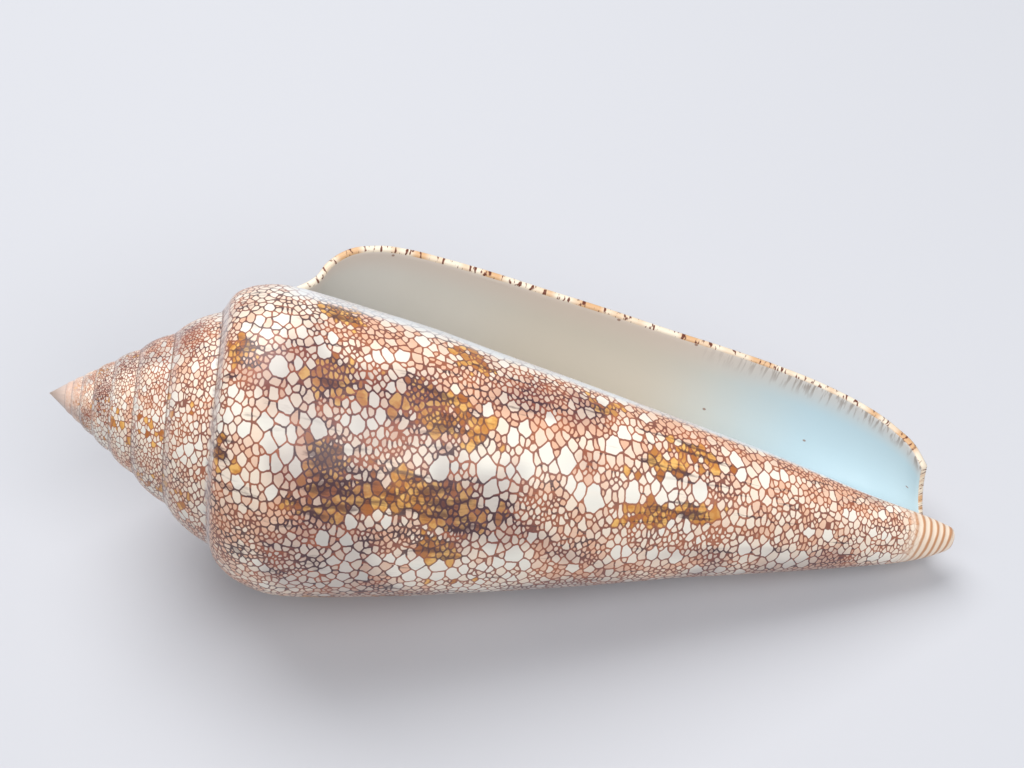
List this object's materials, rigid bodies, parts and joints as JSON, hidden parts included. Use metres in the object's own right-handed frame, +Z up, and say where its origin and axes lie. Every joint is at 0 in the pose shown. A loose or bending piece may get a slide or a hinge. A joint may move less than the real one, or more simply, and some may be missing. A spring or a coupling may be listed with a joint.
{
  "type": "cone shell",
  "caption": "Tall spired cone shell lying on its side: stepped conical spire, long tapering last turn and a narrow open slot under a thin flared lip.",
  "frame": {"origin": "centre of the bounding box at its bottom, on the surface that the shell lies on", "axes": "+X along the shell's length, from the apex of the spire towards the narrow front end; +Y towards the side of the lip; +Z up"},
  "size_m": [0.1168, 0.0458, 0.0416],
  "materials": {
    "shell_porcelain": "glossy porcelain, cream with a red-brown net of tents and orange blotches"
  },
  "bodies": {
    "root": {"cone_shell": "shell_porcelain"}
  },
  "joints": []
}
